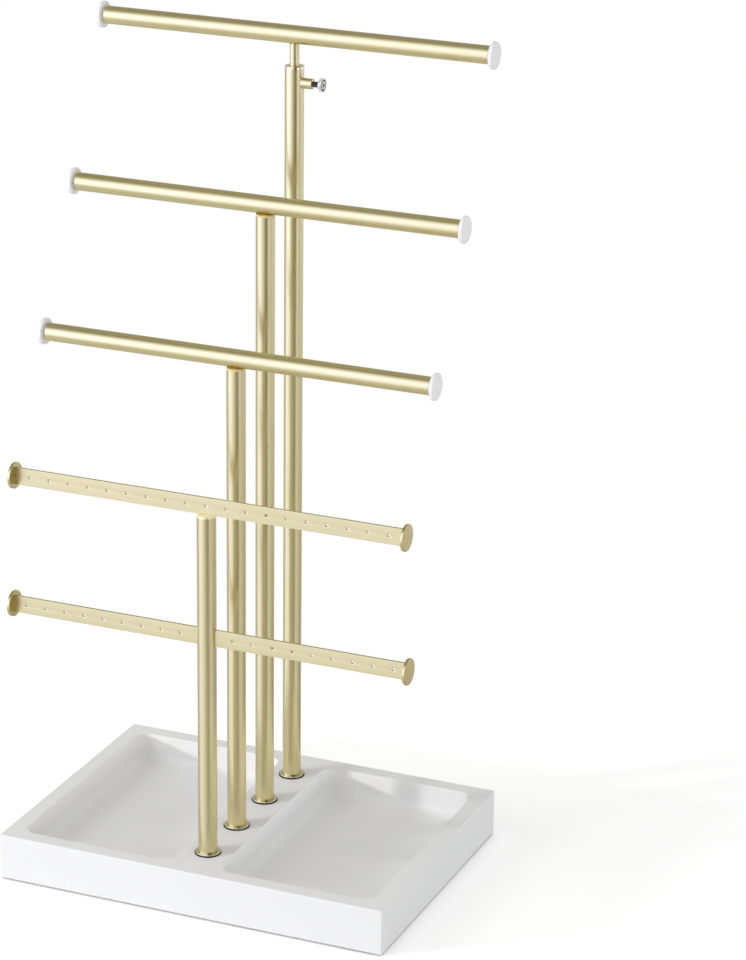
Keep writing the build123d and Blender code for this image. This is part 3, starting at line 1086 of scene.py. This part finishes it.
@dataclass
class EarringStrip:
    """A flat gold strip with a row of earring holes and a disc on each end."""

    name: str
    height: float
    span: float
    hole_places: list[float]
    tab: tuple[float, float] | None = None
    width: float = 9.2
    thickness: float = 1.6
    edge_round: float = 0.2
    hole_radius: float = 0.8
    hole_mouth: float = 1.2
    hole_dip: float = 0.16
    disc_radius: float = 7.0
    disc_thickness: float = 1.6
    groove_depth: float = 0.6
    groove_play: float = 0.05
    disc_round: float = 0.3

    @property
    def centre(self) -> Vector:
        """The middle of the strip."""
        return Vector((0, POST_ROWS["front"], self.height))

    def build_strip(self) -> bpy.types.Object:
        """Fills the strip's outline round its holes and gives it its thickness.

        Returns:
            The strip.
        """
        form = Form()
        end = self.span / 2 - self.disc_thickness + self.groove_depth
        half = self.width / 2
        corners = [(-end, half), (-end, -half), (end, -half), (end, half)]
        if self.tab:
            tab, tab_foot = self.tab[0] / 2, -half - self.tab[1]
            corners[2:2] = [(-tab, -half), (-tab, tab_foot), (tab, tab_foot), (tab, -half)]
        front, back = self.centre.y - self.thickness / 2, self.centre.y + self.thickness / 2
        verts = [form.bm.verts.new((x, front, self.height + z)) for x, z in corners]
        rim = [form.bm.edges.new(pair) for pair in zip(verts, [*verts[1:], verts[0]])]
        skirt = bmesh.ops.extrude_edge_only(form.bm, edges=rim)["geom"]
        moved = [v for v in skirt if isinstance(v, bmesh.types.BMVert)]
        bmesh.ops.translate(form.bm, vec=unit(1) * self.thickness, verts=moved)
        hole = [
            (self.hole_mouth, front),
            (self.hole_radius, front + self.hole_dip),
            (self.hole_radius, back - self.hole_dip),
            (self.hole_mouth, back),
        ]
        for x in self.hole_places:
            place = Vector((x, 0, self.height))
            form.turn(hole, place, TurnAxis.Y, closed=False, steps=SMALL_TURN_STEPS)
        form.fill_level(front, 1, -unit(1))
        form.fill_level(back, 1, unit(1))
        form.weld()
        form.round_edges(
            self.edge_round,
            lambda middle: abs(abs(middle.z - self.height) - half) < WELD_DISTANCE,
            segments=2,
        )
        return form.finished(f"{self.name}_strip")

    def build_disc(self, side: Side) -> bpy.types.Object:
        """Turns an end disc and sinks the strip's groove in it.

        Args:
            side: The end that the disc closes.

        Returns:
            The disc.
        """
        form = Form()
        outer = side.value * self.span / 2
        inner = outer - side.value * self.disc_thickness
        outline = ring_outline(0.0, self.disc_radius, outer, inner)
        form.turn(outline, self.centre, TurnAxis.X, closed=False)
        form.round_edges(self.disc_round, lambda middle: True)
        play = self.groove_play
        half = Vector((self.disc_round / 2, self.thickness / 2 + play, self.width / 2 + play))
        mouth = self.centre + Vector((inner, 0, 0))
        sink = Vector((side.value * self.groove_depth, 0, 0))
        form.pocket(mouth - half, mouth + half, (1, 2), sink)
        return form.finished(f"{self.name}_{side.word}_end_disc")

    def dress(self) -> None:
        """Builds the strip and discs and installs them."""
        install(self.build_strip(), STRIP_GOLD, Body.STAND, Slot.GOLD, f"{self.name}_earring_strip")
        for side in Side:
            disc = f"{self.name}_strip_{side.word}_disc"
            install(self.build_disc(side), DISC_GOLD, Body.STAND, Slot.GOLD, disc)


@dataclass
class LiftRod:
    """The sliding rod of the top bar, with its guide in the back post."""

    post_top: float = 423.35
    radius: float = 2.5
    rod_top: float = 434.65
    shoulder: float = 279.65
    rivet_top: float = 269.45
    rivet_height: float = 1.2
    spigot_radius: float = 1.7
    thread_radius: float = 2.0
    thread_top: float = 441.9
    guide_radius: float = 5.0
    guide_flange: float = 1.4
    guide_stem: float = 15.0
    guide_stem_radius: float = 3.98
    guide_bore: float = 2.55
    guide_round: float = 0.4
    clamp_height: float = CLAMP_HEIGHT
    clamp_hole: float = CLAMP_HOLE

    @property
    def centre(self) -> Vector:
        """The foot of the rod's axis."""
        return Vector((0, POST_ROWS["back"], 0))

    def build_rod(self) -> bpy.types.Object:
        """Turns the stepped rod.

        Returns:
            The rod.
        """
        form = Form()
        foot = self.rivet_top - self.rivet_height
        outline = [
            (0.0, foot),
            (self.radius, foot),
            (self.radius, self.rivet_top),
            (self.spigot_radius, self.rivet_top),
            (self.spigot_radius, self.shoulder),
            (self.radius, self.shoulder),
            (self.radius, self.rod_top),
            (self.thread_radius, self.rod_top),
            (self.thread_radius, self.thread_top),
            (0.0, self.thread_top),
        ]
        form.turn(outline, self.centre, TurnAxis.Z, closed=False)
        return form.finished("lift_rod")

    def build_guide(self) -> bpy.types.Object:
        """Turns the guide bush and opens it for the clamp.

        Returns:
            The guide bush.
        """
        form = Form()
        shoulder = self.post_top - self.guide_flange
        foot = shoulder - self.guide_stem
        outline = [
            (self.guide_bore, self.post_top),
            (self.guide_radius, self.post_top),
            (self.guide_radius, shoulder),
            (self.guide_stem_radius, shoulder),
            (self.guide_stem_radius, foot),
            (self.guide_bore, foot),
        ]
        form.turn(outline, self.centre, TurnAxis.Z)
        rounded_from = self.post_top - self.guide_round
        form.round_edges(self.guide_round, lambda middle: middle.z > rounded_from)
        hole = Vector((0, self.clamp_hole, self.clamp_hole))
        place = self.centre + unit(2) * self.clamp_height
        form.window(place - hole, place + hole + unit(0) * self.guide_radius, along=2, across=1)
        return form.finished("guide_bush")

    def dress(self) -> None:
        """Builds the rod and guide and installs them."""
        install(self.build_rod(), POST_GOLD, Body.TOP_BAR, Slot.GOLD, "sliding_rod")
        install(self.build_guide(), COLLAR_GOLD_PAINTED_HIGHLIGHT, Body.STAND, Slot.GOLD, "rod_guide_bush")
        dress_solid("rod_foot_bush", NYLON)


@dataclass
class Clamp:
    """The thumb screw at the side of the back post, with its boss."""

    height: float = CLAMP_HEIGHT
    post_radius: float = 5.02
    boss_radius: float = 2.75
    boss_bore: float = 1.55
    boss_reach: float = 10.5
    boss_round: float = 0.3
    thread_start: float = 4.7
    thread_end: float = 15.8
    thread_crest: float = 1.5
    thread_root: float = 1.2
    thread_pitch: float = 0.5
    thread_steps: int = 20
    nose_radius: float = 0.7
    nose_length: float = 1.2
    knob_back: float = 14.2
    knob_front: float = 16.4
    knob_radius: float = 3.5
    knob_bore: float = 1.52
    knob_round: float = 0.4
    ring_outer: float = 3.0
    ring_inner: float = 2.3
    ring_depth: float = 0.6
    eye_radius: float = 0.9
    eye_depth: float = 0.5
    groove_count: int = 24
    groove_columns: int = 4
    groove_depth: float = 0.3

    @property
    def centre(self) -> Vector:
        """The post's axis at the clamp's height."""
        return Vector((0, POST_ROWS["back"], self.height))

    def build_boss(self) -> bpy.types.Object:
        """Turns the boss and copes its end to the post.

        Returns:
            The boss.
        """
        form = Form()
        outline = ring_outline(self.boss_bore, self.boss_radius, 0.0, self.boss_reach)
        form.turn(outline, self.centre, TurnAxis.X)
        form.round_edges(
            self.boss_round,
            lambda middle: middle.x > self.boss_reach / 2
            and TurnAxis.X.radius_of(self.centre, middle) > self.boss_bore + self.boss_round,
        )
        for vert in form.bm.verts:
            if vert.co.x < WELD_DISTANCE:
                vert.co.x = math.sqrt(self.post_radius**2 - (vert.co.y - self.centre.y) ** 2)
        return form.finished("clamp_sleeve")

    def build_screw(self) -> bpy.types.Object:
        """Winds the screw's thread and closes its ends.

        Returns:
            The screw.
        """
        form = Form()
        steps = self.thread_steps
        turns = int((self.thread_end - self.thread_start) / self.thread_pitch) - 1
        groove = [(self.thread_root, 0.0), (self.thread_crest, 0.5), (self.thread_root, 1.0)]
        places = [
            TurnAxis.X.point(self.centre, r, self.thread_start + share * self.thread_pitch)
            for r, share in groove
        ]
        verts = [form.bm.verts.new(place) for place in places]
        edges = [form.bm.edges.new(pair) for pair in zip(verts, verts[1:])]
        bmesh.ops.spin(
            form.bm,
            geom=[*verts, *edges],
            cent=self.centre,
            axis=unit(0),
            dvec=unit(0) * (self.thread_pitch / steps),
            angle=FULL_TURN * turns,
            steps=steps * turns,
        )
        form.weld()
        bmesh.ops.holes_fill(form.bm, edges=[e for e in form.bm.edges if e.is_boundary])
        nose_start = self.thread_start - self.nose_length
        nose_end = self.thread_start + self.thread_pitch
        nose = ring_outline(0.0, self.nose_radius, nose_start, nose_end)
        form.turn(nose, self.centre, TurnAxis.X, closed=False, steps=SMALL_TURN_STEPS)
        return form.finished("clamp_thread")

    def build_knob(self) -> bpy.types.Object:
        """Turns the knob with a ring groove in its face, knurls its rim and gives the groove and
        eye dark steel as painted shade.

        Returns:
            The knob.
        """
        form = Form()
        floor, eye = self.knob_front - self.ring_depth, self.knob_front - self.eye_depth
        outline = [
            (self.knob_bore, self.knob_back),
            (self.knob_radius, self.knob_back),
            (self.knob_radius, self.knob_front),
            (self.ring_outer, self.knob_front),
            (self.ring_outer, floor),
            (self.ring_inner, floor),
            (self.ring_inner, self.knob_front),
            (self.eye_radius, self.knob_front),
            (self.eye_radius, eye),
            (self.knob_bore, eye),
        ]
        steps = self.groove_count * self.groove_columns
        form.turn(outline, self.centre, TurnAxis.X, steps=steps)
        clear = self.ring_outer + self.knob_round / 2
        form.round_edges(
            self.knob_round,
            lambda middle: TurnAxis.X.radius_of(self.centre, middle) > clear,
        )
        rim = self.knob_radius - 2 * self.groove_depth
        grooves = []
        for vert in form.bm.verts:
            offset = vert.co - self.centre
            column = round(math.atan2(offset.y, offset.z) / FULL_TURN * steps)
            outside = TurnAxis.X.radius_of(self.centre, vert.co) > rim
            if outside and column % self.groove_columns == 0:
                grooves.append(vert)
        share = 1.0 - self.groove_depth / self.knob_radius
        bmesh.ops.scale(
            form.bm,
            vec=Vector((1.0, share, share)),
            space=Matrix.Translation(-self.centre),
            verts=grooves,
        )
        # Painted shade: the faces of the sunk ring and of the eye take the dark steel, so that the
        # groove and the eye read dark.
        for face in form.bm.faces:
            middle = face.calc_center_median()
            sunk = floor - WELD_DISTANCE < middle.x < self.knob_front - WELD_DISTANCE
            if sunk and TurnAxis.X.radius_of(self.centre, middle) < self.ring_outer + WELD_DISTANCE:
                face.material_index = 1
        return form.finished("clamp_knob_wheel")

    def dress(self) -> None:
        """Builds the boss, screw and knob and installs them."""
        install(self.build_boss(), TURNED_GOLD, Body.STAND, Slot.GOLD, "clamp_boss")
        install(self.build_screw(), SCREW_STEEL, Body.THUMB_SCREW, Slot.STEEL, "clamp_screw")
        knob = self.build_knob()
        install(knob, CHROME, Body.THUMB_SCREW, Slot.CHROME, "clamp_knob")
        # Second material: dark steel painted as shade in the knob's groove and eye.
        knob.data.materials.append(SCREW_STEEL.material())
        dress_solid("clamp_tip", NYLON)


@dataclass(frozen=True)
class Glow:
    """A soft bright or dark patch of the studio, as polished metal sees it.

    Attributes:
        azimuth: Degrees to the right of straight ahead of the stand.
        elevation: Degrees above the table.
        core: Half angle of the even middle, in degrees.
        edge: Half angle where the patch ends, in degrees.
        strength: Light added, or taken where it is below zero.
    """

    azimuth: float
    elevation: float
    core: float
    edge: float
    strength: float

    @property
    def direction(self) -> Vector:
        """Unit vector towards the patch."""
        return towards(self.azimuth, self.elevation)

    @property
    def limits(self) -> tuple[float, float]:
        """Cosines of the angles where the patch ends and where its even middle ends."""
        return math.cos(math.radians(self.edge)), math.cos(math.radians(self.core))


def towards(azimuth: float, elevation: float) -> Vector:
    """Unit vector by azimuth, from the stand's front to its right, and elevation.

    Args:
        azimuth: Degrees to the right of the stand's front.
        elevation: Degrees above the table.

    Returns:
        The direction.
    """
    a, e = math.radians(azimuth), math.radians(elevation)
    return Vector((math.sin(a) * math.cos(e), -math.cos(a) * math.cos(e), math.sin(e)))


@dataclass(frozen=True)
class Softbox:
    """A soft studio lamp that is aimed at the stand."""

    name: str
    azimuth: float
    elevation: float
    distance: float
    width: float
    height: float
    power: float
    aim: tuple[float, float, float] = (0.0, 0.0, 0.05)

    def build(self) -> None:
        """Hangs the lamp and aims it."""
        lamp = bpy.data.lights.new(self.name, "AREA")
        lamp.shape = "RECTANGLE"
        lamp.size, lamp.size_y = self.width, self.height
        lamp.energy = self.power
        held = bpy.data.objects.new(self.name, lamp)
        direction = towards(self.azimuth, self.elevation)
        held.location = Vector(self.aim) + direction * self.distance
        held.rotation_mode = "QUATERNION"
        held.rotation_quaternion = (-direction).to_track_quat("-Z", "Y")
        held.visible_glossy = False
        bpy.context.scene.collection.objects.link(held)


@dataclass
class Studio:
    """The floor, the lamps, the surroundings and the camera."""

    ambient: float = 0.64
    ambient_lean: float = -0.22
    floor_reach: float = 6.0
    floor_colour: float = 0.8
    floor_shade: float = 0.95
    floor_lift: float = 0.28
    # Painted contact shade: the floor's glow to the camera dims by ambient occlusion between these
    # limits, looked for within this reach.
    painted_shade_limits: tuple[float, float] = (0.2, 0.75)
    painted_shade_reach: float = 0.06
    painted_shade_samples: int = 16
    floor_fade: tuple[float, float] = (0.27, 0.45)
    lamps: tuple[Softbox, ...] = (
        Softbox("key_softbox", -50.0, 10.3, 3.2, 0.2, 0.2, 37.2),
        Softbox("left_softbox", -52.0, 32.0, 2.4, 1.2, 1.0, 13.0),
        Softbox("side_softbox", 75.0, 2.5, 1.8, 0.8, 0.18, 3.5),
    )
    glows: tuple[Glow, ...] = (
        Glow(-56.7, 8.8, 1.0, 39.7, 1.6),
        Glow(-5.9, 39.9, 1.0, 36.9, 1.19),
        Glow(63.7, -3.1, 4.2, 15.0, 1.9),
        Glow(40.2, 4.0, 9.3, 39.7, -0.62),
        Glow(-121.8, -30.9, 14.0, 42.4, -0.14),
        Glow(132.9, -33.2, 13.8, 24.8, -0.7),
        Glow(-22.9, -3.2, 1.3, 32.1, 0.57),
        Glow(132.1, -2.6, 13.8, 28.6, 0.61),
    )
    below: float = 0.737
    above: float = 0.35
    horizon: tuple[float, float] = (-0.25, 0.75)
    tone_limits: tuple[float, float] = (0.4, 1.6)
    dim_tone: Colour = (0.981, 0.979, 0.844)
    bright_tone: Colour = (0.864, 0.947, 1.406)
    eye: tuple[float, float, float] = (0.727149, -1.579301, 0.844446)
    azimuth: float = 22.633808
    elevation: float = 19.882519
    roll: float = math.radians(0.706372)
    lens: float = 133.6467

    def build_floor(self) -> None:
        """Lays the pale floor, which is white to the camera where nothing shades it, and has
        painted shade near the stand, where ambient occlusion dims its glow.
        """
        form = bmesh.new()
        bmesh.ops.create_grid(form, x_segments=1, y_segments=1, size=self.floor_reach)
        mesh = bpy.data.meshes.new("studio_floor")
        form.to_mesh(mesh)
        form.free()
        floor = bpy.data.objects.new("studio_floor", mesh)
        bpy.context.scene.collection.objects.link(floor)
        floor.visible_glossy = False
        paint = bpy.data.materials.new("studio_floor")
        paint.use_nodes = True
        bench = NodeBench(paint.node_tree)
        plain, shaded = (bench.node("ShaderNodeBsdfDiffuse") for _ in range(2))
        plain.inputs["Color"].default_value = (self.floor_colour,) * 3 + (1.0,)
        shaded.inputs["Color"].default_value = (self.floor_shade,) * 3 + (1.0,)
        lift, white = (bench.node("ShaderNodeEmission") for _ in range(2))
        # Painted shade: ambient occlusion dims the floor's glow to the camera near the stand.
        open_sky = bench.node(
            "ShaderNodeAmbientOcclusion", samples=self.painted_shade_samples, distance=self.painted_shade_reach
        ).outputs["AO"]
        painted_contact_shade = bench.ranged(open_sky, self.painted_shade_limits, (0.0, self.floor_lift), smooth=True)
        bench.join(painted_contact_shade, lift.inputs["Strength"])
        lifted = bench.node("ShaderNodeAddShader")
        bench.join(shaded.outputs["BSDF"], lifted.inputs[0])
        bench.join(lift.outputs["Emission"], lifted.inputs[1])
        place = bench.node("ShaderNodeTexCoord")
        distance = bench.node("ShaderNodeVectorMath", operation="LENGTH")
        bench.join(place.outputs["Object"], distance.inputs[0])
        fade = bench.ranged(distance.outputs["Value"], self.floor_fade, smooth=True)
        faded = bench.blend(fade, lifted.outputs["Shader"], white.outputs["Emission"])
        mixed = bench.blend(self.seen_directly(bench), plain.outputs["BSDF"], faded)
        output = bench.node("ShaderNodeOutputMaterial")
        bench.join(mixed, output.inputs["Surface"])
        mesh.materials.append(paint)

    def seen_directly(self, bench: NodeBench) -> Socket:
        """Tells what the camera, metal or glass sees from what only lights the stand.

        Args:
            bench: The tree that asks.

        Returns:
            1 for camera, glossy and transmission rays, 0 for others.
        """
        path = bench.node("ShaderNodeLightPath").outputs
        direct = bench.reckon("MAXIMUM", path["Is Camera Ray"], path["Is Glossy Ray"])
        return bench.reckon("MAXIMUM", direct, path["Is Transmission Ray"])

    def build_surroundings(self) -> None:
        """Makes the white backdrop and the soft studio that the metal reflects."""
        world = bpy.data.worlds.new("studio")
        world.use_nodes = True
        bpy.context.scene.world = world
        bench = NodeBench(world.node_tree)
        place = bench.node("ShaderNodeTexCoord")
        split = bench.node("ShaderNodeSeparateXYZ")
        bench.join(place.outputs["Generated"], split.inputs["Vector"])
        levels = (self.below, self.above)
        total = bench.ranged(split.outputs["Z"], self.horizon, levels, smooth=True)
        for glow in self.glows:
            near = bench.node("ShaderNodeVectorMath", operation="DOT_PRODUCT")
            bench.join(place.outputs["Generated"], near.inputs[0])
            near.inputs[1].default_value = glow.direction
            span = (0.0, glow.strength)
            patch = bench.ranged(near.outputs["Value"], glow.limits, span, smooth=True)
            total = bench.reckon("ADD", total, patch)
        metal, soft, white = (bench.node("ShaderNodeBackground") for _ in range(3))
        warmth = bench.ranged(total, self.tone_limits)
        bench.join(bench.tint(warmth, self.dim_tone, self.bright_tone), metal.inputs["Color"])
        bench.join(total, metal.inputs["Strength"])
        ends = [self.ambient * (1.0 - side.value * self.ambient_lean) for side in Side]
        lean = bench.ranged(split.outputs["X"], (-1.0, 1.0), ends)
        bench.join(lean, soft.inputs["Strength"])
        for plain in (soft, white):
            plain.inputs["Color"].default_value = WHITE
        soft, metal, white = (n.outputs["Background"] for n in (soft, metal, white))
        path = bench.node("ShaderNodeLightPath").outputs
        direct = bench.reckon("MAXIMUM", path["Is Camera Ray"], path["Is Transmission Ray"])
        lit = bench.blend(path["Is Glossy Ray"], soft, metal)
        output = bench.node("ShaderNodeOutputWorld")
        bench.join(bench.blend(direct, lit, white), output.inputs["Surface"])

    def build_camera(self) -> None:
        """Sets the camera at the photograph's viewing angle."""
        lens = bpy.data.cameras.new("photo_camera")
        lens.lens = self.lens
        camera = bpy.data.objects.new("photo_camera", lens)
        back = towards(self.azimuth, self.elevation)
        a = math.radians(self.azimuth)
        right = Vector((math.cos(a), math.sin(a), 0.0))
        turned = Matrix.Rotation(self.roll, 3, back)
        right = turned @ right
        up = back.cross(right)
        pose = Matrix((right, up, back)).transposed().to_4x4()
        camera.matrix_world = Matrix.Translation(Vector(self.eye)) @ pose
        bpy.context.scene.collection.objects.link(camera)
        bpy.context.scene.camera = camera

    def build(self) -> None:
        """Builds floor, lamps, surroundings and camera."""
        self.build_floor()
        for lamp in self.lamps:
            lamp.build()
        self.build_surroundings()
        self.build_camera()
        bpy.context.scene.view_settings.view_transform = "Standard"


def main() -> None:
    """Builds the stand's sub-assemblies in order, then the studio."""
    logging.basicConfig(level=logging.INFO, format="%(name)s: %(message)s")
    Base().dress()
    Gaskets().dress()
    clamp_windows = [wall_window(Side.RIGHT, CLAMP_HEIGHT, CLAMP_HOLE, CLAMP_HOLE)]
    slot_windows = [wall_window(side, LOWER_STRIP_HEIGHT, *STRIP_SLOT) for side in Side]
    Post("back", tube_top=421.95, windows=clamp_windows).dress()
    Post("second", tube_top=352.75).dress()
    Post("third", tube_top=281.05).dress()
    Post("front", tube_top=213.4, windows=slot_windows).dress()
    TopPlug("second", top=353.75).dress()
    TopPlug("third", top=282.05).dress()
    # The front plug's finish paints light into its shaded top.
    TopPlug("front", top=214.4, slot_size=(6.1, 1.7, 5.05), finish=FRONT_PLUG_PAINTED_LIGHT).dress()
    RoundBar("top", row="back", height=439.4, body=Body.TOP_BAR).dress()
    RoundBar("second", row="second", height=358.5, body=Body.STAND).dress()
    RoundBar("third", row="third", height=286.8, body=Body.STAND).dress()
    # The studs' finish paints the slit's warm shadow.
    dress_solid("second_bar_stud", STUD_ZINC_PAINTED_SHADE)
    dress_solid("third_bar_stud", STUD_ZINC_PAINTED_SHADE)
    upper_holes = [HOLE_PITCH * i for i in range(-HOLES_A_SIDE, HOLES_A_SIDE + 1)]
    lower_holes = [
        side.value * (NEAREST_HOLE + HOLE_PITCH * i) for side in Side for i in range(HOLES_A_SIDE)
    ]
    EarringStrip(
        "upper", height=219.0, span=220.2, hole_places=upper_holes, tab=(6.0, 5.0)
    ).dress()
    EarringStrip("lower", height=LOWER_STRIP_HEIGHT, span=224.4, hole_places=lower_holes).dress()
    LiftRod().dress()
    Clamp().dress()
    Studio().build()


if __name__ == "__main__":
    main()
